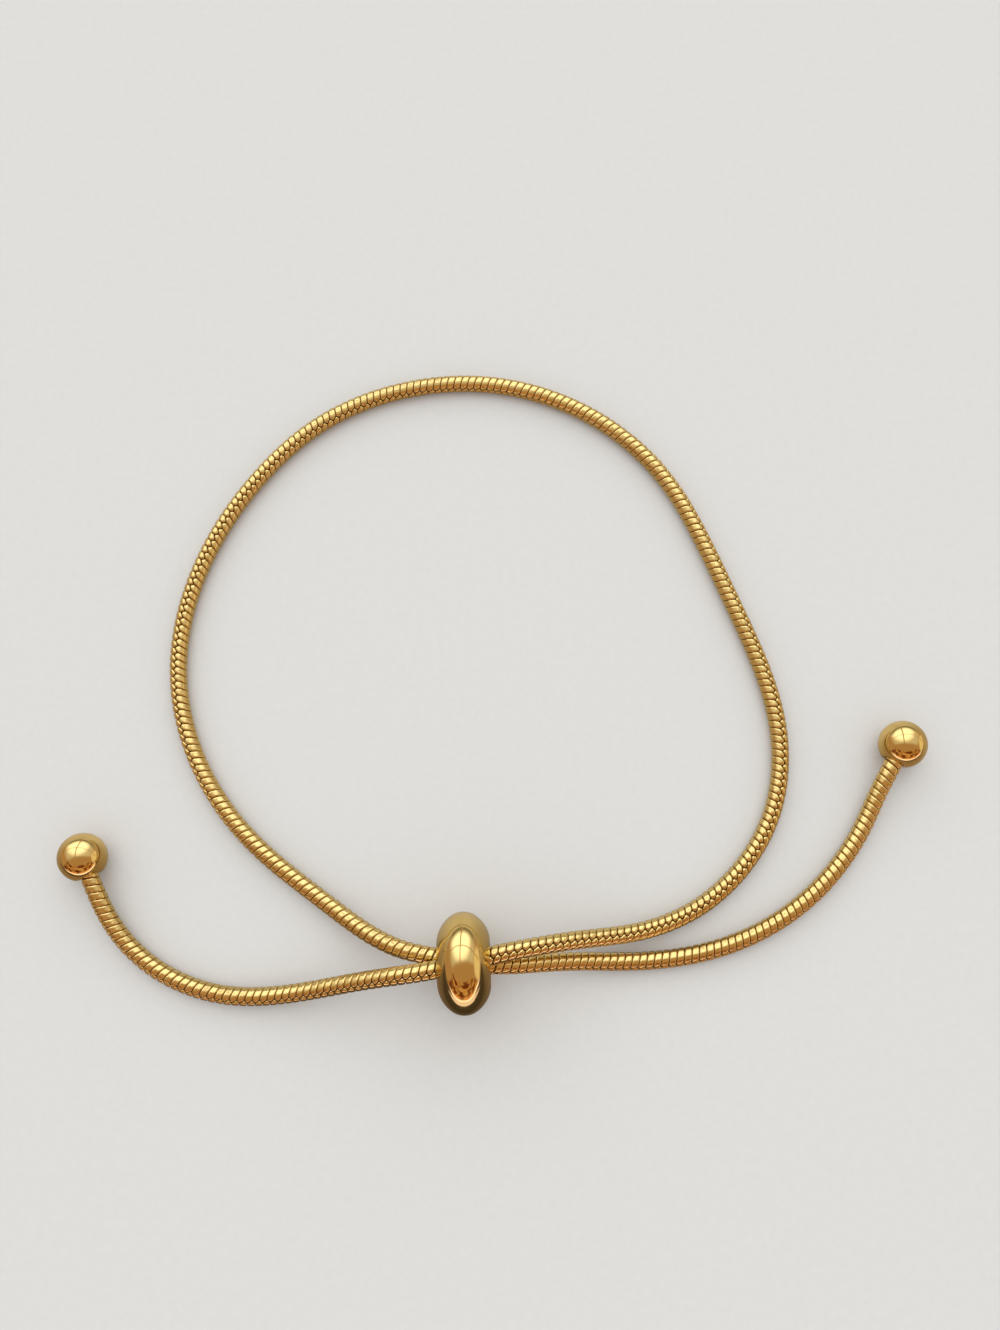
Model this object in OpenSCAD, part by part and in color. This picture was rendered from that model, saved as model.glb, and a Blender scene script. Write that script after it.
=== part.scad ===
// Adjustable bolo bracelet of round snake chain, lying flat as a wrist loop.
// One length of chain makes the loop, crosses over itself inside the slider bead
// and ends in two free tails, each closed by a polished ball.
// All sizes are in millimetres. +X is along the bead's bore, +Y points from the
// bead to the far side of the loop, and +Z is up from the surface it lies on.

/* [Loop and tails] */
// Reach of the wrist loop from the middle of the slider bead to its far side
loop_reach = 52; // [46:0.5:58]
// Distance between the middles of the two end balls, along the bead's bore
tails_span = 69.4; // [62:0.2:77]

/* [Chain] */
// Diameter of the snake chain
chain_d = 1.5; // [1.2:0.05:1.9]

/* [Slider bead] */
// Outer diameter of the slider bead
bead_d = 8; // [7.4:0.1:9]
// Length of the slider bead along its bore
bead_w = 4.3; // [3.8:0.1:5]
// How far in from its rim the bead's side bulges out to the full length
bead_shoulder = 2.5; // [2.3:0.1:2.8]
// Radius of the crown along the bead's rim
bead_crown_r = 1.75; // [1.5:0.05:1.85]
// Height between the two strands where they cross inside the bead
strand_gap = 0.2; // [0.1:0.05:0.4]
// Space between the strands and the bead's bore
bore_clearance = 0.2; // [0.1:0.05:0.4]
// Radius that rounds the two mouths of the bore
bead_lip_r = 0.2; // [0.1:0.05:0.3]

/* [End balls] */
// Diameter of each end ball
ball_d = 4; // [3.4:0.1:5]
// Diameter of the flat face where the chain enters a ball
ball_face_d = 2.2; // [1.9:0.1:2.6]
// Space between the chain and the hole in a ball
hole_clearance = 0.08; // [0.05:0.01:0.12]

/* [Hidden] */

// Heights of the chain's centre line: on the surface, in the balls, and on the
// upper and lower strand inside the bead
low_z = chain_d / 2;
ball_z = ball_d / 2;
bead_z = bead_d / 2;
strand_step = chain_d + strand_gap;
over_z = bead_z + strand_step / 2;
under_z = bead_z - strand_step / 2;

// A height that is the given share of the way up from the surface to a top height
function up(share, top) = low_z + share * (top - low_z);

// Route of the chain's centre line, from the left tail's ball to the right tail's.
// The bead is centred on x = 0, y = 0. The smooth curve runs just inside the bends
// of this list, and starts and ends on its second and last but one points, which
// are the centres of the balls.
DRAWN_ROUTE = [
    [-32.5, 11.9, up(1.2, ball_z)],
    [-31.6, 9.5, ball_z],
    [-30.7, 7.1, up(0.8, ball_z)],
    [-29.4, 4, up(0.3, ball_z)],
    [-27.2, 1.3, low_z],
    [-24, -0.9, low_z],
    [-19.5, -2.4, low_z],
    [-14.2, -2.2, up(0.1, over_z)],
    [-9.4, -1.3, up(0.5, over_z)],
    [-5.8, -0.8, up(0.9, over_z)],
    [-2.8, -0.5, over_z],
    [0, 0, over_z],
    [2.8, 0.7, over_z],
    [5.8, 1.1, up(0.9, over_z)],
    [9.7, 1.5, up(0.5, over_z)],
    [14.8, 1.6, up(0.1, over_z)],
    [20, 3.4, low_z],
    [24.3, 7.1, low_z],
    [27.1, 11.8, low_z],
    [28, 17.7, low_z],
    [26.9, 23.6, low_z],
    [24.7, 29.5, low_z],
    [22.5, 35.5, low_z],
    [20.2, 40.8, low_z],
    [16.9, 45.2, low_z],
    [12, 49, low_z],
    [6, 51.4, low_z],
    [-0.2, 52, low_z],
    [-6.8, 50.9, low_z],
    [-13, 47.9, low_z],
    [-17.9, 43, low_z],
    [-21.7, 37.4, low_z],
    [-24.2, 30.9, low_z],
    [-24.7, 24.3, low_z],
    [-23.2, 18.2, low_z],
    [-20.3, 13, low_z],
    [-16.6, 9, low_z],
    [-12.3, 5.7, low_z],
    [-8.8, 3, up(0.4, under_z)],
    [-5.6, 1.2, up(0.9, under_z)],
    [-2.8, 0.6, under_z],
    [0, 0, under_z],
    [2.8, -0.4, under_z],
    [5.8, -0.3, up(0.8, under_z)],
    [9.4, -0.3, up(0.3, under_z)],
    [14.2, -0.7, low_z],
    [19.8, -0.3, low_z],
    [25.4, 1.5, low_z],
    [30.4, 4.9, low_z],
    [33.9, 9.2, low_z],
    [35.3, 12.2, up(0.3, ball_z)],
    [36.5, 14.3, up(0.8, ball_z)],
    [37.8, 16.5, ball_z],
    [39.1, 18.7, up(1.2, ball_z)]
];

// The same route stretched along x and y to the chosen reach and span
drawn_reach = max([for (p = DRAWN_ROUTE) p.y]);
drawn_span = DRAWN_ROUTE[len(DRAWN_ROUTE) - 2].x - DRAWN_ROUTE[1].x;
ROUTE = [for (p = DRAWN_ROUTE)
    [p.x * tails_span / drawn_span, p.y * loop_reach / drawn_reach, p.z]];

// Smooth curve through the route: a uniform cubic B-spline, which never leaves the
// hull of its points, so that no part of the chain dips below the surface
ring_gaps = 76;
function blend(a, b, c, d, t) =
    (pow(1 - t, 3) * a + (3 * pow(t, 3) - 6 * pow(t, 2) + 4) * b
        + (-3 * pow(t, 3) + 3 * pow(t, 2) + 3 * t + 1) * c + pow(t, 3) * d) / 6;
function at(u) =
    let (i = min(floor(u), len(ROUTE) - 4), t = u - i)
    blend(ROUTE[i], ROUTE[i + 1], ROUTE[i + 2], ROUTE[i + 3], t);
path = [for (k = [0 : ring_gaps]) at(k * (len(ROUTE) - 3) / ring_gaps)];

// Where the balls are, and which way the chain leaves each one
left_ball_at = ROUTE[1];
left_ball_out = ROUTE[2] - ROUTE[1];
right_ball_at = ROUTE[len(ROUTE) - 2];
right_ball_out = ROUTE[len(ROUTE) - 3] - right_ball_at;

// The finished bracelet is moved so that the middle of its outline, seen from
// above, is at the origin
function middle(lo, hi) = (lo + hi) / 2;
middle_x = middle(left_ball_at.x - ball_d / 2, right_ball_at.x + ball_d / 2);
far_y = max([for (p = path) p.y]) + chain_d / 2;
middle_y = middle(-bead_d / 2, far_y);

chain_sides = 8;
facets = 96;

function unit(v) = v / norm(v);

// The ring of corners round one point of the centre line
function ring(i) =
    let (
        ahead = path[min(i + 1, len(path) - 1)] - path[max(i - 1, 0)],
        side = unit(cross(ahead, [0, 0, 1])),
        rise = unit(cross(side, ahead))
    )
    [for (k = [0 : chain_sides - 1])
        path[i] + chain_d / 2 * (cos(360 * k / chain_sides) * side
            + sin(360 * k / chain_sides) * rise)];

// A closed tube swept along the whole centre line
module swept_tube() {
    n = chain_sides;
    last = len(path) - 1;
    corners = [for (i = [0 : last]) each ring(i)];
    walls = [for (i = [0 : last - 1], k = [0 : n - 1])
        [i * n + k, i * n + (k + 1) % n, (i + 1) * n + (k + 1) % n, (i + 1) * n + k]];
    near_cap = [for (k = [n - 1 : -1 : 0]) k];
    far_cap = [for (k = [0 : n - 1]) last * n + k];
    polyhedron(corners, concat([near_cap], walls, [far_cap]), convexity = 20);
}

// The part of a cross-section that lies between two distances from the axis, which
// is the y axis of the sketch
module between(near, far) {
    intersection() {
        children();
        translate([near, -bead_w]) square([far - near, 2 * bead_w]);
    }
}

// The bead's cross-section on one side of its bore. The rim is a round crown, and
// each side is a flatter arc that meets it smoothly and would bulge out to the full
// length at the shoulder. A small round lip joins each side to the bore.
module bead_section() {
    half_w = bead_w / 2;
    rim_r = bead_d / 2;
    bore_r = strand_step / 2 + chain_d / 2 + bore_clearance;
    shoulder_r = rim_r - bead_shoulder;
    crown_at = rim_r - bead_crown_r;
    drop = crown_at - shoulder_r;
    side_r = (pow(half_w, 2) + pow(drop, 2) - pow(bead_crown_r, 2)) / (2 * (half_w - bead_crown_r));
    crown_meets = shoulder_r + side_r * drop / (side_r - bead_crown_r);
    lip_at = bore_r + bead_lip_r;
    lip_out = sqrt(pow(side_r - bead_lip_r, 2) - pow(lip_at - shoulder_r, 2)) - side_r + half_w;
    lip_meets = shoulder_r + side_r * (lip_at - shoulder_r) / (side_r - bead_lip_r);
    between(crown_at, rim_r + bead_crown_r)
        translate([crown_at, 0]) circle(r = bead_crown_r, $fn = facets);
    between(lip_meets, crown_meets) intersection() {
        translate([shoulder_r, side_r - half_w]) circle(r = side_r, $fn = facets);
        translate([shoulder_r, half_w - side_r]) circle(r = side_r, $fn = facets);
    }
    translate([bore_r, -lip_out]) square([crown_at - bore_r, 2 * lip_out]);
    for (end = [-1, 1])
        translate([lip_at, end * lip_out]) circle(r = bead_lip_r, $fn = facets);
}

module slider_bead() {
    color([0.86, 0.66, 0.28])
    translate([-middle_x, -middle_y, bead_z])
    rotate([0, 90, 0])
    rotate_extrude($fn = facets) bead_section();
}

// Half of a ball's cross-section, with the axis of its hole along the y axis and the
// flat face at the top. The hole ends just past the ball's centre.
module ball_section() {
    hole_r = chain_d / 2 + hole_clearance;
    face_at = sqrt(pow(ball_d / 2, 2) - pow(ball_face_d / 2, 2));
    difference() {
        circle(d = ball_d, $fn = facets);
        translate([-ball_d, -ball_d]) square([ball_d, 2 * ball_d]);
        translate([0, face_at]) square(ball_d);
        translate([0, -hole_clearance]) square([hole_r, ball_d]);
    }
}

// A ball turned so that its hole takes the chain
module end_ball(centre, out) {
    heading = atan2(out.y, out.x);
    from_upright = acos(out.z / norm(out));
    color([0.86, 0.66, 0.28])
    translate([centre.x - middle_x, centre.y - middle_y, centre.z])
    rotate([0, from_upright, heading])
    rotate_extrude($fn = facets) ball_section();
}

module snake_chain() {
    color([0.9, 0.74, 0.42])
    translate([-middle_x, -middle_y, 0]) swept_tube();
}

module end_ball_left() {
    end_ball(left_ball_at, left_ball_out);
}

module end_ball_right() {
    end_ball(right_ball_at, right_ball_out);
}

snake_chain();
slider_bead();
end_ball_left();
end_ball_right();
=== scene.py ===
import math

import bpy
import numpy as np
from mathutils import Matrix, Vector


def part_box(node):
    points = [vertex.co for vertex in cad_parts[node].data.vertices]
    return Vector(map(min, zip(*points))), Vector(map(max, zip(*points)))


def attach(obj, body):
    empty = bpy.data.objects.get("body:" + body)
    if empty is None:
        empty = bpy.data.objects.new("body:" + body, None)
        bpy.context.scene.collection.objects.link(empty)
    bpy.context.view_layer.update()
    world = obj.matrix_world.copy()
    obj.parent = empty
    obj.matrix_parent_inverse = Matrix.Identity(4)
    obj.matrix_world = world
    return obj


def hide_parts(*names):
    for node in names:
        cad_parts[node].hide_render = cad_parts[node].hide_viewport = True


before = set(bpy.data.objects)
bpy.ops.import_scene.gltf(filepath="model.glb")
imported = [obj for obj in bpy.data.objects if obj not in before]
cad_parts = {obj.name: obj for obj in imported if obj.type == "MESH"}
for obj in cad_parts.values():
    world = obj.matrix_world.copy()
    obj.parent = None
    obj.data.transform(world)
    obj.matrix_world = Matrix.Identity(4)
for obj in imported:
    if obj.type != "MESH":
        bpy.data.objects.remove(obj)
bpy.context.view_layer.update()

# Camera. The bracelet is seen from about 9 cm above the surface it lies on, tipped 12 degrees
# back towards the viewer and turned 2 degrees, through a wide lens.
PHOTO_H = 1330
FOCAL_PX = 1050
SENSOR = 36
CAMERA_TIP = 11.92
CAMERA_TURN = -2.04
CAMERA_DISTANCE = 0.09293
aim = Vector((0.00067, 0.00084, 0))
camera_data = bpy.data.cameras.new("photo_camera")
camera_data.sensor_width = SENSOR
camera_data.lens = SENSOR * FOCAL_PX / PHOTO_H
camera_data.clip_start = 0.001
camera = bpy.data.objects.new("photo_camera", camera_data)
bpy.context.scene.collection.objects.link(camera)
camera.rotation_euler = (math.radians(CAMERA_TIP), 0, math.radians(CAMERA_TURN))
camera.location = aim + camera.rotation_euler.to_matrix() @ Vector((0, 0, CAMERA_DISTANCE))
bpy.context.scene.camera = camera

# Snake chain. A round snake chain is made of narrow curved bands of sheet steel, pushed into each
# other in two rows that each wrap half way round. Their rounded ends interlock like a zip along
# two seams, and the chain is rolled, polished and plated with gold. It is one length, 247 mm.

# The sizes of the pieces are in mm, and MM turns them to metres
MM = 0.001
chain_r = 0.75

# Heights of the centre line in mm: on the surface, in the balls, and on the upper and the lower
# strand inside the bead
low_z = chain_r
ball_z = 2
over_z = 4.85
under_z = 3.15


def up(share, top):
    """A height that is the given share of the way from the surface to a top height, in mm."""
    return low_z + share * (top - low_z)


# The centre line's bends, in mm from the middle of the slider bead
chain_route = np.array([
    (-32.5, 11.9, up(1.2, ball_z)), (-31.6, 9.5, ball_z), (-30.7, 7.1, up(0.8, ball_z)),
    (-29.4, 4, up(0.3, ball_z)), (-27.2, 1.3, low_z), (-24, -0.9, low_z), (-19.5, -2.4, low_z),
    (-14.2, -2.2, up(0.1, over_z)), (-9.4, -1.3, up(0.5, over_z)), (-5.8, -0.8, up(0.9, over_z)),
    (-2.8, -0.5, over_z), (0, 0, over_z), (2.8, 0.7, over_z), (5.8, 1.1, up(0.9, over_z)),
    (9.7, 1.5, up(0.5, over_z)), (14.8, 1.6, up(0.1, over_z)), (20, 3.4, low_z),
    (24.3, 7.1, low_z), (27.1, 11.8, low_z), (28, 17.7, low_z), (26.9, 23.6, low_z),
    (24.7, 29.5, low_z), (22.5, 35.5, low_z), (20.2, 40.8, low_z), (16.9, 45.2, low_z),
    (12, 49, low_z), (6, 51.4, low_z), (-0.2, 52, low_z), (-6.8, 50.9, low_z),
    (-13, 47.9, low_z), (-17.9, 43, low_z), (-21.7, 37.4, low_z), (-24.2, 30.9, low_z),
    (-24.7, 24.3, low_z), (-23.2, 18.2, low_z), (-20.3, 13, low_z), (-16.6, 9, low_z),
    (-12.3, 5.7, low_z), (-8.8, 3, up(0.4, under_z)), (-5.6, 1.2, up(0.9, under_z)),
    (-2.8, 0.6, under_z), (0, 0, under_z), (2.8, -0.4, under_z), (5.8, -0.3, up(0.8, under_z)),
    (9.4, -0.3, up(0.3, under_z)), (14.2, -0.7, low_z), (19.8, -0.3, low_z), (25.4, 1.5, low_z),
    (30.4, 4.9, low_z), (33.9, 9.2, low_z), (35.3, 12.2, up(0.3, ball_z)),
    (36.5, 14.3, up(0.8, ball_z)), (37.8, 16.5, ball_z), (39.1, 18.7, up(1.2, ball_z)),
])
bead_low, bead_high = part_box("slider_bead")
bead_middle = (bead_low + bead_high) / 2 / MM
chain_route += (bead_middle.x, bead_middle.y, 0)

# The smooth centre line: a uniform cubic B-spline of the bends, measured along its length
LINE_POINTS = 4000
u = np.linspace(0, len(chain_route) - 3, LINE_POINTS)
span = np.minimum(u.astype(int), len(chain_route) - 4)
t = (u - span)[:, None]
line = ((1 - t) ** 3 * chain_route[span] + (3 * t ** 3 - 6 * t ** 2 + 4) * chain_route[span + 1]
        + (-3 * t ** 3 + 3 * t ** 2 + 3 * t + 1) * chain_route[span + 2]
        + t ** 3 * chain_route[span + 3]) / 6
steps = np.linalg.norm(np.diff(line, axis=0), axis=1)
line_s = np.concatenate([[0], np.cumsum(steps)])
line_ahead = np.gradient(line, axis=0)
chain_length = line_s[-1]

# How far the chain is turned about its own axis: mm along it, and degrees from the top to the
# seam, counted towards the left of the way the chain runs. The turns blend over 5 mm of chain.
seam_turn = np.array([
    (0, -60), (16, -40), (34, -25), (41, -4), (56, 0), (84, -23), (100, -45), (114, -90),
    (130, -122), (138, -145), (158, -183), (171, -207), (185, -260), (195, -275),
    (206, -238), (248, -237),
])
TURN_BLEND = 81
turn_at = np.interp(line_s, seam_turn[:, 0], seam_turn[:, 1])
turn_at = np.convolve(np.pad(turn_at, TURN_BLEND // 2, mode="edge"),
                      np.ones(TURN_BLEND) / TURN_BLEND, "valid")


def on_chain(s, angle, radius):
    """Points at s mm along the chain, at an angle from the top towards its left, in metres."""
    middle = np.stack([np.interp(s, line_s, line[:, axis]) for axis in range(3)], -1)
    ahead = np.stack([np.interp(s, line_s, line_ahead[:, axis]) for axis in range(3)], -1)
    left = np.cross((0, 0, 1), ahead)
    left /= np.linalg.norm(left, axis=-1, keepdims=True)
    top = np.cross(ahead, left)
    top /= np.linalg.norm(top, axis=-1, keepdims=True)
    outward = np.cos(angle)[..., None] * top + np.sin(angle)[..., None] * left
    return (middle + radius[..., None] * outward) * MM


def grid_faces(count, rows, columns):
    """Quads of several grids of points that are stored one after another."""
    one = np.arange((rows - 1) * columns).reshape(rows - 1, columns)[:, :-1]
    quad = np.stack([one, one + 1, one + 1 + columns, one + columns], -1).reshape(-1, 4)
    return (np.arange(count)[:, None, None] * rows * columns + quad).reshape(-1, 4)


def new_piece(name, points, faces):
    """A smooth-shaded mesh piece of the object."""
    mesh = bpy.data.meshes.new(name)
    mesh.from_pydata(points.reshape(-1, 3).tolist(), [], faces.tolist())
    mesh.shade_smooth()
    piece = bpy.data.objects.new(name, mesh)
    bpy.context.scene.collection.objects.link(piece)
    return piece


# One band is a grid of points. Its long edges and its two ends are bevelled and rounded over, and
# on all four sides the sheet turns down into the chain. The columns of the grid are given by their
# distances from a long edge, and its rows by their distances from an end, in mm.
band_pitch = 0.634
band_w = 0.592
wall_drop = 0.18
corner_r = 0.065
edge_bevel_w = 0.14
edge_bevel_drop = 0.035
end_bevel_w = 0.2
end_bevel_drop = 0.1
BEVEL_POWER = 1.3
from_edge = np.array([0, 0.008, 0.028, 0.065, 0.105, 0.148, 0.215, band_w / 2])
from_end = np.array([0, 0.008, 0.03, 0.07, 0.13, 0.21, 0.46, 0.72, 1])
half_way = math.pi / 2 * chain_r


def bevelled(distances, width, fall):
    """How far the face has dropped at each distance from an edge, and at the edge the full wall."""
    bevel = fall * (1 - np.minimum(distances, width) / width) ** BEVEL_POWER
    rounding = corner_r - np.sqrt(corner_r ** 2 - (corner_r - np.minimum(distances, corner_r)) ** 2)
    return np.where(distances == 0, wall_drop, bevel + rounding)


# Places across and along a band from -1 to 1, and the drop that belongs to each
across = np.concatenate([from_edge / (band_w / 2) - 1, 1 - from_edge[-2::-1] / (band_w / 2)])
across_drop = bevelled(np.concatenate([from_edge, from_edge[-2::-1]]),
                       edge_bevel_w, edge_bevel_drop)
along = np.concatenate([from_end / half_way - 1, 1 - from_end[::-1] / half_way])
along_drop = bevelled(np.concatenate([from_end, from_end[::-1]]), end_bevel_w, end_bevel_drop)

# The tongues of one row reach between those of the other: the gap between them, how far they
# reach past the middle of the seam, how blunt they are, which leaves a notch at each tip, and how
# round their sides are, where 1 is a plain wave and less is rounder.
seam_gap = 0.01
tongue = 0.115
bluntness = 0.17
TONGUE_ROUNDNESS = 0.8

# Towards its ends a band narrows. It leans along the chain, and most at its ends, by half a
# pitch in all, so that both seams mesh. The bands sit a little loose, and each tilts differently.
narrowing = 0.04
NARROWING_POWER = 6
slant = 0.5 * band_pitch
slant_evenness = 0.85
looseness = 0.008
tilt_draw = np.random.default_rng(5)

bands_in_row = int(chain_length / band_pitch)
v = across[None, :]
w = along[:, None]
drop = np.minimum(np.hypot(across_drop[None, :], along_drop[:, None]), wall_drop)
wave = np.cos(math.pi * v)
wave = np.sign(wave) * np.abs(wave) ** TONGUE_ROUNDNESS
half_length = half_way - seam_gap / 2 + tongue * (wave - bluntness * wave ** 2)
round_way = w * half_length
lean = round_way / half_way
forward = slant * (slant_evenness * lean + (1 - slant_evenness) * lean ** 3)
sideways = v * band_w / 2 * (1 - narrowing * w ** NARROWING_POWER)

chain_rows = []
for row, name in enumerate(("snake_chain_row_a", "snake_chain_row_b")):
    row_shift = row * (2 * slant + band_pitch / 2)
    first = -math.floor(row_shift / band_pitch)
    band_s = (np.arange(bands_in_row) + 0.5 + first) * band_pitch + row_shift
    s = np.clip(band_s[:, None, None] + forward + sideways, 0, chain_length)
    seam = np.radians(np.interp(s, line_s, turn_at))
    angle = seam + math.pi / 2 + row * math.pi + round_way / chain_r
    tilt = tilt_draw.normal(0, looseness, (bands_in_row, 1, 1)) * v
    radius = chain_r - looseness - drop + np.clip(tilt, -2 * looseness, looseness)
    chain_row = new_piece(name, on_chain(s, angle, radius),
                          grid_faces(bands_in_row, len(along), len(across)))

    # How deep each point lies, from 0 on the face to 1 at the foot of the turned-down sheet
    depth = chain_row.data.attributes.new("depth", "FLOAT", "POINT")
    depth.data.foreach_set("value", np.tile((drop / wall_drop).ravel(), bands_in_row))
    chain_rows.append(chain_row)


def linear(hex_colour):
    """An sRGB hex colour as the linear RGBA that shaders use."""
    channels = [int(hex_colour[i:i + 2], 16) / 255 for i in (1, 3, 5)]
    return [c / 12.92 if c <= 0.04045 else ((c + 0.055) / 1.055) ** 2.4 for c in channels] + [1]


def new_material(name):
    """A material with an empty node tree."""
    material = bpy.data.materials.new(name)
    material.use_nodes = True
    material.node_tree.nodes.clear()
    return material


def add_node(tree, kind, settings=None, links=None):
    """Adds a node to a tree. A link is a value for that input, or another node's output."""
    node = tree.nodes.new(kind)
    for name, value in (settings or {}).items():
        setattr(node, name, value)
    for name, value in (links or {}).items():
        if isinstance(value, bpy.types.NodeSocket):
            tree.links.new(value, node.inputs[name])
        else:
            node.inputs[name].default_value = value
    return node


# Gold-plated steel, rolled and polished: bright, with a soft grain left by the rollers and with
# small rubs where the bands wear against each other. Down the sides of the bands the colour is
# painted dark brown, as painted shade in the gaps between them. The grain is really finer, and
# drawn coarse to show.
RUB_MM = 0.35
GRAIN_MM = 0.09
GRAIN_DEPTH_MM = 0.006

# Where the painted shade down the sides begins and where its dark brown is full, as shares of the
# sides' depth
SIDE_SHADE_FROM = 0.48
SIDE_SHADE_FULL = 0.82
plated_bands = new_material("gold_plated_rolled_steel")
tree = plated_bands.node_tree
where = add_node(tree, "ShaderNodeTexCoord")
rubs = add_node(tree, "ShaderNodeTexNoise", None,
                {"Vector": where.outputs["Object"], "Scale": 1 / (RUB_MM * MM), "Detail": 3})
band_tone = add_node(tree, "ShaderNodeMix", {"data_type": "RGBA"},
                     {"Factor": rubs.outputs["Fac"], "A": linear("#E8CC82"), "B": linear("#F2DA98")})
band_gloss = add_node(tree, "ShaderNodeMapRange", None,
                      {"Value": rubs.outputs["Fac"], "From Min": 0.3, "From Max": 0.7,
                       "To Min": 0.12, "To Max": 0.24})
how_deep = add_node(tree, "ShaderNodeAttribute", {"attribute_name": "depth"})
# Painted shade: the bands' sides turn dark brown from part way down, so the gaps between them look
# shaded
painted_side_shade = add_node(tree, "ShaderNodeMapRange", None,
                      {"Value": how_deep.outputs["Fac"],
                       "From Min": SIDE_SHADE_FROM, "From Max": SIDE_SHADE_FULL})
band_colour = add_node(tree, "ShaderNodeMix", {"data_type": "RGBA"},
                       {"Factor": painted_side_shade.outputs["Result"],
                        "A": band_tone.outputs[2], "B": linear("#3B2410")})
grain = add_node(tree, "ShaderNodeTexNoise", None,
                 {"Vector": where.outputs["Object"], "Scale": 1 / (GRAIN_MM * MM), "Detail": 2})
grain_bump = add_node(tree, "ShaderNodeBump", None,
                      {"Height": grain.outputs["Fac"], "Strength": 0.5,
                       "Distance": GRAIN_DEPTH_MM * MM})
surface = add_node(tree, "ShaderNodeBsdfPrincipled", None,
                   {"Base Color": band_colour.outputs[2], "Metallic": 1,
                    "Roughness": band_gloss.outputs["Result"],
                    "Normal": grain_bump.outputs["Normal"]})
add_node(tree, "ShaderNodeOutputMaterial", None, {"Surface": surface.outputs["BSDF"]})
for chain_row in chain_rows:
    chain_row.data.materials.append(plated_bands)
    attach(chain_row, "root")
    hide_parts("snake_chain")

# Chain core. Under the bands the rims that they hook together with close the chain to a tube. Its
# dark brown is painted shade, so that the gaps between the bands look shaded.
core_r = 0.6
CORE_SIDES = 12
CORE_RINGS = 420
core_s, core_angle = np.meshgrid(np.linspace(0, chain_length, CORE_RINGS),
                                 np.linspace(0, 2 * math.pi, CORE_SIDES + 1), indexing="ij")
core = new_piece("snake_chain_core",
                 on_chain(core_s, core_angle, np.full(core_s.shape, core_r)),
                 grid_faces(1, CORE_RINGS, CORE_SIDES + 1))

# Painted shade: dark brown and dull, with a faint mottle, in the gaps between the bands
CORE_MOTTLE_MM = 0.2
core_shade_material = new_material("painted_shade_core")
tree = core_shade_material.node_tree
where = add_node(tree, "ShaderNodeTexCoord")
core_mottle = add_node(tree, "ShaderNodeTexNoise", None,
                 {"Vector": where.outputs["Object"], "Scale": 1 / (CORE_MOTTLE_MM * MM), "Detail": 2})
core_shade_tone = add_node(tree, "ShaderNodeMix", {"data_type": "RGBA"},
                    {"Factor": core_mottle.outputs["Fac"], "A": linear("#2A1A0B"), "B": linear("#57391A")})
surface = add_node(tree, "ShaderNodeBsdfPrincipled", None,
                   {"Base Color": core_shade_tone.outputs[2], "Metallic": 0.8, "Roughness": 0.5})
add_node(tree, "ShaderNodeOutputMaterial", None, {"Surface": surface.outputs["BSDF"]})
core.data.materials.append(core_shade_material)
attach(core, "root")
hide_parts("snake_chain")

# Slider bead. A thick rounded washer turned from solid steel, polished to a mirror and plated.
# Both strands of the chain pass through its bore, and friction holds it where it is pushed.
bead_r = 4
bead_half_w = 2.15
bead_shoulder_r = 1.5
crown_r = 1.75
bore_r = 1.8
lip_r = 0.2
BEAD_SEGMENTS = 160


def arc(centre, radius, start, end, count):
    """Points on an arc: (distance from the axis, place along it) in mm, angles in degrees."""
    angle = np.radians(np.linspace(start, end, count))
    return np.stack([centre[0] + radius * np.cos(angle), centre[1] + radius * np.sin(angle)], -1)


def turned(name, profile, middle, axis, segments):
    """A piece turned on a lathe from a closed profile, its axis along the given direction."""
    axis = Vector(axis).normalized()
    side = axis.orthogonal().normalized()
    third = axis.cross(side)
    angle = np.linspace(0, 2 * math.pi, segments, endpoint=False)
    rim = np.cos(angle)[:, None] * np.array(side) + np.sin(angle)[:, None] * np.array(third)
    points = (np.array(middle) + profile[None, :, 0, None] * rim[:, None, :]
              + profile[None, :, 1, None] * np.array(axis)) * MM
    n = len(profile)
    i, j = np.meshgrid(np.arange(segments), np.arange(n), indexing="ij")
    next_i = (i + 1) % segments
    next_j = (j + 1) % n
    faces = np.stack([i * n + j, next_i * n + j, next_i * n + next_j, i * n + next_j], -1)
    return new_piece(name, points, faces.reshape(-1, 4))


# The cross-section: a round crown at the rim, a flatter arc down each side, a lip and the bore
crown_at = bead_r - crown_r
shoulder_to_crown = crown_at - bead_shoulder_r
side_r = ((bead_half_w ** 2 + shoulder_to_crown ** 2 - crown_r ** 2)
          / (2 * (bead_half_w - crown_r)))
side_centre = (bead_shoulder_r, bead_half_w - side_r)
crown_end = math.degrees(math.atan2(-side_centre[1], shoulder_to_crown))
lip_at = bore_r + lip_r
lip_out = math.sqrt((side_r - lip_r) ** 2 - (lip_at - bead_shoulder_r) ** 2) + side_centre[1]
side_end = math.degrees(math.atan2(lip_out - side_centre[1], lip_at - bead_shoulder_r))
half_profile = np.concatenate([
    arc((crown_at, 0), crown_r, 0, crown_end, count=24),
    arc(side_centre, side_r, crown_end, side_end, count=24)[1:],
    arc((lip_at, lip_out), lip_r, side_end, 180, count=12)[1:],
    [(bore_r, lip_out * share) for share in (0.75, 0.5, 0.25, 0)],
])
other_half = half_profile[1:-1][::-1] * (1, -1)
bead = turned("slider_bead_turned", np.concatenate([half_profile, other_half]),
              bead_middle, (1, 0, 0), BEAD_SEGMENTS)

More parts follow.
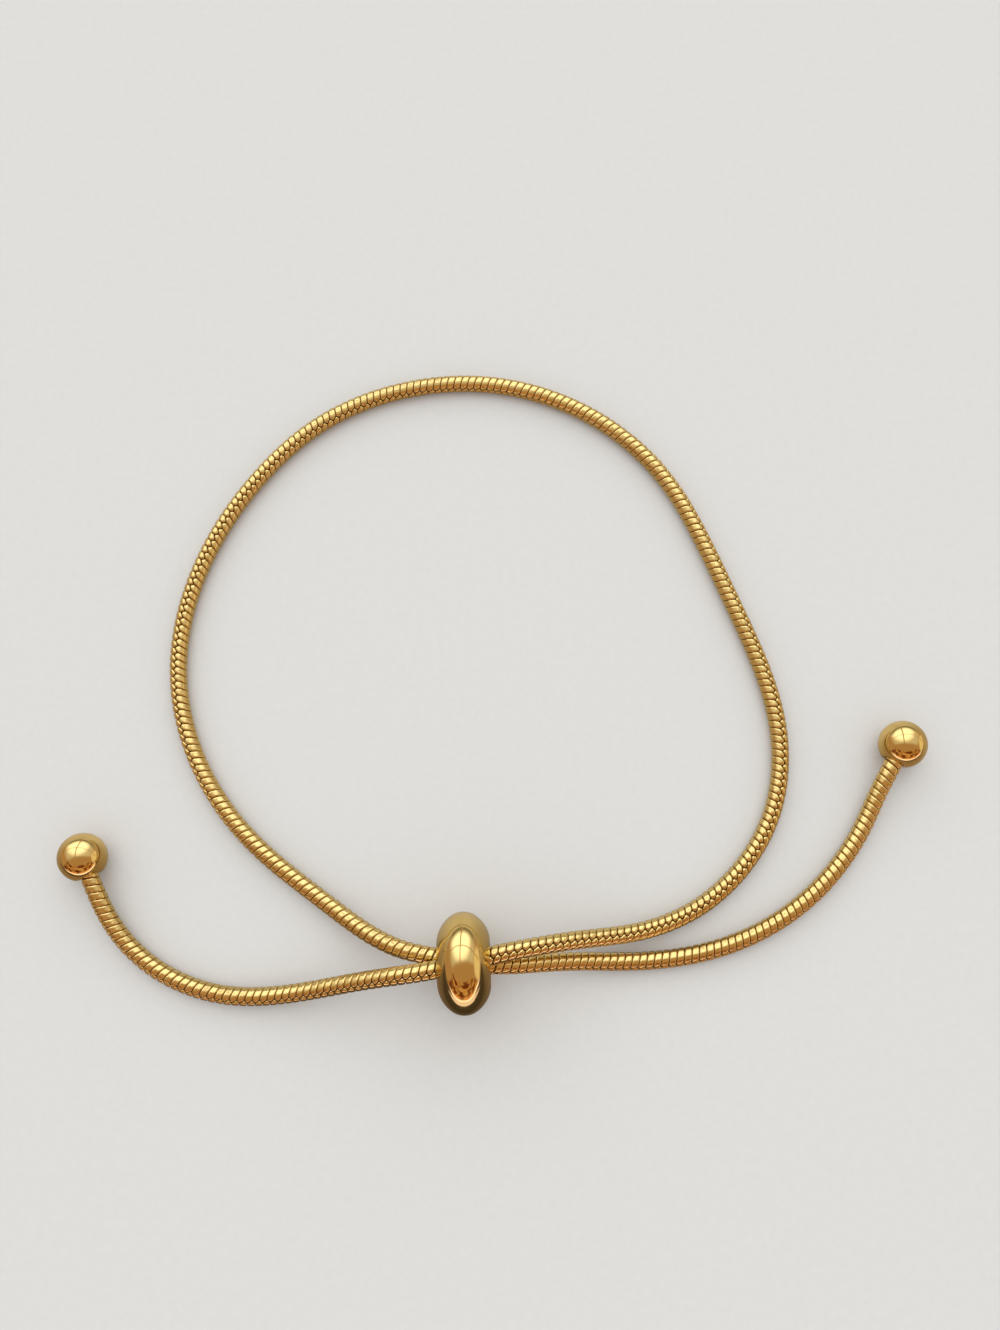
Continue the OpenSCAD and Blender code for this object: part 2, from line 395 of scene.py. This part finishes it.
# Gold plating on steel, polished to a mirror: sharp reflections, a slight waviness left by the
# polishing wheel, and faint smears from handling
SMEAR_MM = 1.6
WAVE_MM = 0.9
WAVE_DEPTH_MM = 0.012
mirror_gold = new_material("gold_plated_mirror_polished_steel")
tree = mirror_gold.node_tree
where = add_node(tree, "ShaderNodeTexCoord")
smears = add_node(tree, "ShaderNodeTexNoise", None,
                  {"Vector": where.outputs["Object"], "Scale": 1 / (SMEAR_MM * MM), "Detail": 4,
                   "Distortion": 0.8})
gold_tone = add_node(tree, "ShaderNodeMix", {"data_type": "RGBA"},
                     {"Factor": smears.outputs["Fac"],
                      "A": linear("#E9CD84"), "B": linear("#F0D692")})
gold_gloss = add_node(tree, "ShaderNodeMapRange", None,
                      {"Value": smears.outputs["Fac"], "From Min": 0.35, "From Max": 0.7,
                       "To Min": 0.05, "To Max": 0.13})
waviness = add_node(tree, "ShaderNodeTexNoise", None,
                    {"Vector": where.outputs["Object"], "Scale": 1 / (WAVE_MM * MM), "Detail": 1})
wave_bump = add_node(tree, "ShaderNodeBump", None,
                     {"Height": waviness.outputs["Fac"], "Strength": 0.5,
                      "Distance": WAVE_DEPTH_MM * MM})
surface = add_node(tree, "ShaderNodeBsdfPrincipled", None,
                   {"Base Color": gold_tone.outputs[2], "Metallic": 1,
                    "Roughness": gold_gloss.outputs["Result"],
                    "Normal": wave_bump.outputs["Normal"]})
add_node(tree, "ShaderNodeOutputMaterial", None, {"Surface": surface.outputs["BSDF"]})
bead.data.materials.append(mirror_gold)
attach(bead, "root")
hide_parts("slider_bead")

# End balls. Solid steel balls, each with a small flat and a drilled blind hole that the chain's
# end is glued into. They stop the tails from slipping back through the bead.
ball_r = 2
ball_flat_r = 1.1
ball_hole_r = 0.83
ball_edge_r = 0.06
hole_depth = 0.08
BALL_SEGMENTS = 128
flat_at = math.sqrt(ball_r ** 2 - ball_flat_r ** 2)
flat_end = math.degrees(math.atan2(flat_at, ball_flat_r))

# The cross-section: the hole's floor just past the ball's middle, the hole's wall, its rounded
# mouth, the flat with its rounded rim, and from 1 degree past the rim the round of the ball
PAST_RIM = 1
ball_profile = np.concatenate([
    [(0, -hole_depth), (ball_hole_r, -hole_depth), (ball_hole_r, flat_at / 2)],
    arc((ball_hole_r + ball_edge_r, flat_at - ball_edge_r), ball_edge_r, 180, 90, count=6),
    arc((ball_flat_r - ball_edge_r, flat_at - ball_edge_r), ball_edge_r, 90, flat_end, count=5),
    arc((0, 0), ball_r, flat_end - PAST_RIM, -90, count=60),
])
for name, centre, out in (("end_ball_left", chain_route[1], chain_route[2] - chain_route[1]),
                          ("end_ball_right", chain_route[-2], chain_route[-3] - chain_route[-2])):
    ball = turned(name + "_turned", ball_profile, centre, out, BALL_SEGMENTS)
    ball.data.materials.append(mirror_gold)
    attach(ball, "root")
    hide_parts(name)

# Floor. A plain pale sheet of matt board. In its reflection on the metal it is painted browner, as
# if in shade, with a soft sheen. Painted shade darkens it there towards the near side, and a painted
# pale edge, as of bright light, lies in front of the bead.
FLOOR_HALF = 1.5

# In its reflection the board has painted shade: dark before one place along y, in metres, and its
# full colour and sheen from two others. The painted pale edge, a bright reflection, fades in between
# two places, and by the slope x over y.
DARK_BEFORE_Y = -0.034
FULL_COLOUR_Y = -0.008
FULL_SHEEN_Y = -0.023
SHEEN_SHARE = 0.44
PALE_EDGE_Y = (-0.049, -0.054)
PALE_EDGE_SLOPE = (1, 0.5)
corners = np.array([(-1, -1, 0), (1, -1, 0), (1, 1, 0), (-1, 1, 0)], float) * FLOOR_HALF
floor_mesh = bpy.data.meshes.new("floor")
floor_mesh.from_pydata(corners.tolist(), [], [(0, 1, 2, 3)])
floor = bpy.data.objects.new("floor", floor_mesh)
bpy.context.scene.collection.objects.link(floor)

# Pale grey paper board: matt, with a faint mottle of fibres, drawn coarse so that it shows
FIBRE_MM = 0.6
board = new_material("pale_matt_board")
tree = board.node_tree
where = add_node(tree, "ShaderNodeTexCoord")
on_board = add_node(tree, "ShaderNodeSeparateXYZ", None, {"Vector": where.outputs["Object"]})
ray = add_node(tree, "ShaderNodeLightPath")
fibres = add_node(tree, "ShaderNodeTexNoise", None,
                  {"Vector": where.outputs["Object"], "Scale": 1 / (FIBRE_MM * MM), "Detail": 3})
board_tone = add_node(tree, "ShaderNodeMix", {"data_type": "RGBA"},
                      {"Factor": fibres.outputs["Fac"],
                       "A": linear("#D6D5D2"), "B": linear("#DCDBD8")})
# Painted shade: seen in reflections the board is dark on the near side and fades to a brown grey
painted_shade_fade = add_node(tree, "ShaderNodeMapRange", None,
                     {"Value": on_board.outputs["Y"],
                      "From Min": DARK_BEFORE_Y, "From Max": FULL_COLOUR_Y})
shaded_board = add_node(tree, "ShaderNodeMix", {"data_type": "RGBA"},
                        {"Factor": painted_shade_fade.outputs["Result"],
                         "A": linear("#3A2F20"), "B": linear("#9C8D73")})

# The painted pale edge, a painted bright reflection, lies in front of the bead alone, where x is
# small beside y
slope = add_node(tree, "ShaderNodeMath", {"operation": "DIVIDE"},
                 {0: on_board.outputs["X"], 1: on_board.outputs["Y"]})
steepness = add_node(tree, "ShaderNodeMath", {"operation": "ABSOLUTE"},
                     {0: slope.outputs["Value"]})
in_front = add_node(tree, "ShaderNodeMapRange", {"interpolation_type": "SMOOTHSTEP"},
                    {"Value": steepness.outputs["Value"],
                     "From Min": PALE_EDGE_SLOPE[0], "From Max": PALE_EDGE_SLOPE[1]})
near_edge = add_node(tree, "ShaderNodeMapRange", {"interpolation_type": "SMOOTHSTEP"},
                     {"Value": on_board.outputs["Y"],
                      "From Min": PALE_EDGE_Y[0], "From Max": PALE_EDGE_Y[1]})
painted_pale_edge = add_node(tree, "ShaderNodeMath", {"operation": "MULTIPLY"},
                     {0: in_front.outputs["Result"], 1: near_edge.outputs["Result"]})
edged_board = add_node(tree, "ShaderNodeMix", {"data_type": "RGBA"},
                       {"Factor": painted_pale_edge.outputs["Value"],
                        "A": shaded_board.outputs[2], "B": linear("#FFEAF2")})
board_look = add_node(tree, "ShaderNodeMix", {"data_type": "RGBA"},
                      {"Factor": ray.outputs["Is Glossy Ray"], "A": board_tone.outputs[2],
                       "B": edged_board.outputs[2]})
matt = add_node(tree, "ShaderNodeBsdfPrincipled", None,
                {"Base Color": board_look.outputs[2], "Roughness": 0.9})
sheen = add_node(tree, "ShaderNodeBsdfAnisotropic", None,
                 {"Color": linear("#E8E4DC"), "Roughness": 0.45})
sheen_reach = add_node(tree, "ShaderNodeMapRange", {"interpolation_type": "SMOOTHSTEP"},
                       {"Value": on_board.outputs["Y"],
                        "From Min": DARK_BEFORE_Y, "From Max": FULL_SHEEN_Y,
                        "To Max": SHEEN_SHARE})
sheen_share = add_node(tree, "ShaderNodeMath", {"operation": "MULTIPLY"},
                       {0: ray.outputs["Is Glossy Ray"], 1: sheen_reach.outputs["Result"]})
surface = add_node(tree, "ShaderNodeMixShader", None,
                   {0: sheen_share.outputs["Value"], 1: matt.outputs["BSDF"],
                    2: sheen.outputs["BSDF"]})
add_node(tree, "ShaderNodeOutputMaterial", None, {"Surface": surface.outputs["Shader"]})
floor_mesh.materials.append(board)

# Warm grey card. It hangs over the near part of the set, as high as the camera, so that the
# polished pieces aren't washed out from above. Only their reflections show it.
CARD_MIDDLE = Vector((0.01, -0.052, 0.093))
CARD_REACH = Vector((0.17, 0.052, 1))
card_corners = [(x * CARD_REACH.x, y * CARD_REACH.y, 0)
                for x, y in ((-1, -1), (1, -1), (1, 1), (-1, 1))]
card_mesh = bpy.data.meshes.new("warm_card")
card_mesh.from_pydata(card_corners, [], [(0, 1, 2, 3)])
card = bpy.data.objects.new("warm_card", card_mesh)
card.location = CARD_MIDDLE
bpy.context.scene.collection.objects.link(card)

# Painted light: the card glows evenly in warm grey, as a lit grey card would look, and fades out
# softly from half way to its edge
glowing_card = new_material("warm_glowing_card")
tree = glowing_card.node_tree
where = add_node(tree, "ShaderNodeTexCoord")
card_share = add_node(tree, "ShaderNodeVectorMath", {"operation": "DIVIDE"},
                      {0: where.outputs["Object"], 1: CARD_REACH})
from_middle = add_node(tree, "ShaderNodeVectorMath", {"operation": "LENGTH"},
                       {0: card_share.outputs["Vector"]})
soft_edge = add_node(tree, "ShaderNodeMapRange", {"interpolation_type": "SMOOTHSTEP"},
                     {"Value": from_middle.outputs["Value"], "From Min": 0.55, "From Max": 1})
glow = add_node(tree, "ShaderNodeEmission", None, {"Color": linear("#B5916B"), "Strength": 1})
clear = add_node(tree, "ShaderNodeBsdfTransparent")
card_look = add_node(tree, "ShaderNodeMixShader", None,
                     {0: soft_edge.outputs["Result"], 1: glow.outputs["Emission"],
                      2: clear.outputs["BSDF"]})
add_node(tree, "ShaderNodeOutputMaterial", None, {"Surface": card_look.outputs["Shader"]})
card_mesh.materials.append(glowing_card)
card.visible_camera = False
card.visible_shadow = False
card.visible_diffuse = False

# Light. The metal reflects a wide soft panel with thin bars, beyond and above the loop, between
# pale and tan boards, and mottled brown boards on the near side. The floor gets plain soft light.
# All are placed by directions: x to the right, y to the far side and z up.
world = bpy.data.worlds.new("studio")
bpy.context.scene.world = world
world.use_nodes = True
tree = world.node_tree
tree.nodes.clear()
way = add_node(tree, "ShaderNodeTexCoord")
straight = way.outputs["Generated"]

# The same direction with a slow wobble, for boards that aren't quite straight
WOBBLE = 0.22
WOBBLE_SCALE = 3.5
unevenness = add_node(tree, "ShaderNodeTexNoise", {"normalize": False},
                      {"Vector": straight, "Scale": WOBBLE_SCALE, "Detail": 1})
uneven_way = add_node(tree, "ShaderNodeVectorMath", {"operation": "MULTIPLY_ADD"},
                      {0: unevenness.outputs["Color"], 1: (WOBBLE, WOBBLE, WOBBLE), 2: straight})
uneven = uneven_way.outputs["Vector"]


def facing(direction, start, end, ray_way=straight):
    """0 to 1 as a ray's direction turns towards the given one, by the cosine between them."""
    dot = add_node(tree, "ShaderNodeVectorMath", {"operation": "DOT_PRODUCT"},
                   {0: ray_way, 1: Vector(direction).normalized()})
    ramp = add_node(tree, "ShaderNodeMapRange", {"interpolation_type": "SMOOTHSTEP"},
                    {"Value": dot.outputs["Value"], "From Min": start, "From Max": end})
    return ramp.outputs["Result"]


def over(below, colour, share):
    """A colour laid over what is below it, where the share is 1."""
    mix = add_node(tree, "ShaderNodeMix", {"data_type": "RGBA"},
                   {"Factor": share, "A": below, "B": colour})
    return mix.outputs[2]


def both(one, other):
    """Where two shares are both 1."""
    product = add_node(tree, "ShaderNodeMath", {"operation": "MULTIPLY"}, {0: one, 1: other})
    return product.outputs["Value"]


def stripe(direction, half_width, blur):
    """1 inside a stripe square to a direction, 0 outside it."""
    return both(facing(direction, -half_width - blur, -half_width),
                facing([-x for x in direction], -half_width - blur, -half_width))


# Tan boards all round, and a pale one overhead
TAN_BOARD = linear("#AE8C6A")
PALE_BOARD = linear("#CFC6B8")
around = over(TAN_BOARD, PALE_BOARD, facing((0, 0.55, 0.83), 0.3, 0.65))

# Mottled brown boards low on the near side, with an orange one in the middle of them
MOTTLE_SCALE = 2.6
MOTTLE_STRETCH = (1.2, 1.2, 3)
flattened = add_node(tree, "ShaderNodeVectorMath", {"operation": "MULTIPLY"},
                     {0: straight, 1: MOTTLE_STRETCH})
mottle = add_node(tree, "ShaderNodeTexNoise", None,
                  {"Vector": flattened.outputs["Vector"], "Scale": MOTTLE_SCALE, "Detail": 2,
                   "Distortion": 0.6})
mottle_share = add_node(tree, "ShaderNodeMapRange", {"interpolation_type": "SMOOTHSTEP"},
                        {"Value": mottle.outputs["Fac"], "From Min": 0.42, "From Max": 0.6})
mottled_brown = over(linear("#6B3415"), linear("#CB9A66"), mottle_share.outputs["Result"])
around = over(around, mottled_brown,
              both(facing((0, -1, 0), 0.3, 0.5, uneven), facing((0, 0, -1), -0.82, -0.7, uneven)))
around = over(around, linear("#EDA168"),
              both(facing((0.1, -1, 0.1), 0.75, 0.9, uneven),
                   facing((0, 0, -1), -0.22, -0.12, uneven)))

# A bright strip at their foot, and a dimmer one low on the right
NEAR_STRIP = [1.7, 1.35, 1.55, 1]
RIGHT_STRIP = [0.8, 0.66, 0.45, 1]
around = over(around, NEAR_STRIP,
              both(facing((0.1, -1, 0), 0.35, 0.7), facing((0, 0, -1), -0.1, -0.05)))
around = over(around, RIGHT_STRIP,
              both(facing((1, 0, 0.1), 0.88, 0.94), facing((0, 0, 1), 0.02, 0.1)))

# The wide soft panel on the far side, the grey boards under it and its two thin bars
PANEL_LIGHT = [1.55, 1.55, 1.55, 1]
panel = both(facing((-0.12, 0.8, 0.6), 0.58, 0.92), facing((-1, 0, 0), -0.72, -0.6))
upright_bar = stripe((0.97, 0, 0.22), half_width=0.028, blur=0.02)
cross_bar = stripe((0.05, 0.73, -0.68), half_width=0.012, blur=0.012)
around = over(around, PANEL_LIGHT, panel)
around = over(around, linear("#857F6E"),
              both(facing((0, 1, 0), 0.5, 0.8), facing((0, 0, -1), -0.38, -0.08)))
around = over(around, TAN_BOARD, both(upright_bar, facing((0, 1, 0), -0.35, -0.1)))
around = over(around, TAN_BOARD, both(cross_bar, facing((0, 0, 1), 0.1, 0.2)))

# What lights the metal, what lights the matt floor, and the plain backdrop behind the floor
FLOOR_LIGHT = [0.78, 0.79, 0.8, 1]
FLOOR_KEY_LIGHT = [1.8, 1.8, 1.8, 1]
ray = add_node(tree, "ShaderNodeLightPath")
for_metal = add_node(tree, "ShaderNodeBackground", None, {"Color": around, "Strength": 1.1})
floor_light = over(FLOOR_LIGHT, FLOOR_KEY_LIGHT, facing((-0.12, 0.6, 0.8), 0.6, 0.95))
for_floor = add_node(tree, "ShaderNodeBackground", None, {"Color": floor_light, "Strength": 1})
backdrop = add_node(tree, "ShaderNodeBackground", None,
                    {"Color": linear("#DEDEDD"), "Strength": 1})
lit = add_node(tree, "ShaderNodeMixShader", None,
               {0: ray.outputs["Is Diffuse Ray"], 1: for_metal.outputs["Background"],
                2: for_floor.outputs["Background"]})
seen = add_node(tree, "ShaderNodeMixShader", None,
                {0: ray.outputs["Is Camera Ray"], 1: lit.outputs["Shader"],
                 2: backdrop.outputs["Background"]})
add_node(tree, "ShaderNodeOutputWorld", None, {"Surface": seen.outputs["Shader"]})
bpy.context.scene.view_settings.view_transform = "Standard"
